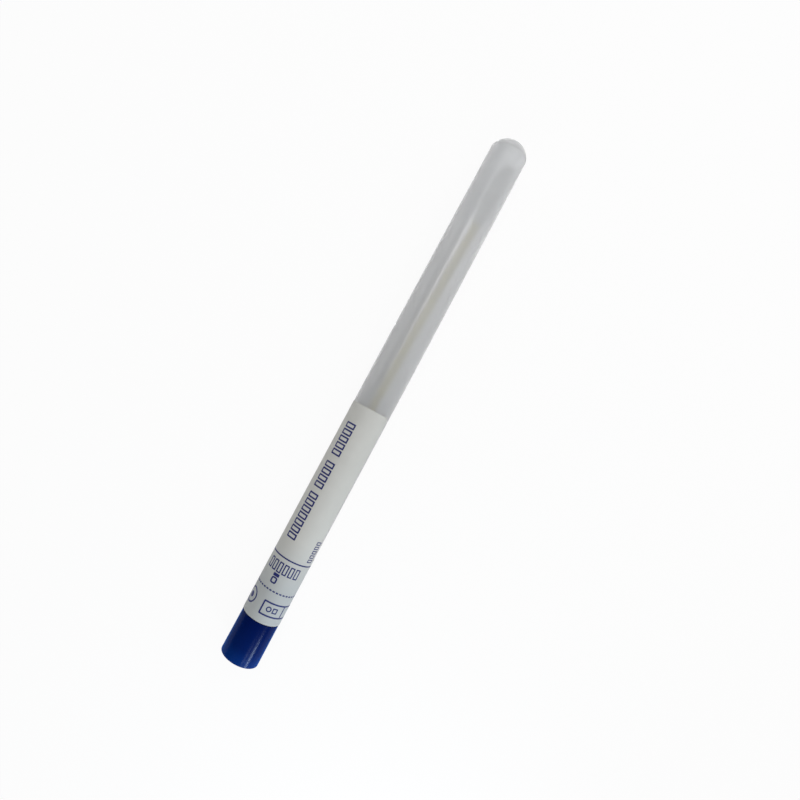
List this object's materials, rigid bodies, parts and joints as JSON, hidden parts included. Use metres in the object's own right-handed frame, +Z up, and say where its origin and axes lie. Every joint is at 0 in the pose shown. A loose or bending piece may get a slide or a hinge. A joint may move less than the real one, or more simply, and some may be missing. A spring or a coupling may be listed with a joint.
{
  "type": "specimen swab tube",
  "caption": "Long closed tube with a paper label, holding a cotton swab whose wooden stick is fixed in its stopper cap; the cap and swab pull out together.",
  "frame": {"origin": "under the middle of the tube and cap, on the surface that the tube lies on", "axes": "+X along the tube from its closed end to its cap, +Y to the side of the label that has the viewing strip, +Z up"},
  "size_m": [0.175, 0.0122, 0.0122],
  "materials": {
    "tube": "frosted, see-through polypropylene",
    "label": "smooth uncoated paper with dark blue print",
    "cap": "smooth moulded plastic, dark blue",
    "stick": "plain birch",
    "bud": "wound cotton fibre"
  },
  "bodies": {
    "tube_body": {"tube": "tube", "label": "label"},
    "swab_body": {"cap": "cap", "stick": "stick", "bud": "bud"}
  },
  "joints": [
    {"name": "swab_slide", "type": "slide", "parent": "tube_body", "child": "swab_body", "axis": [1, 0, 0], "range_m": [0, 0.165]}
  ]
}
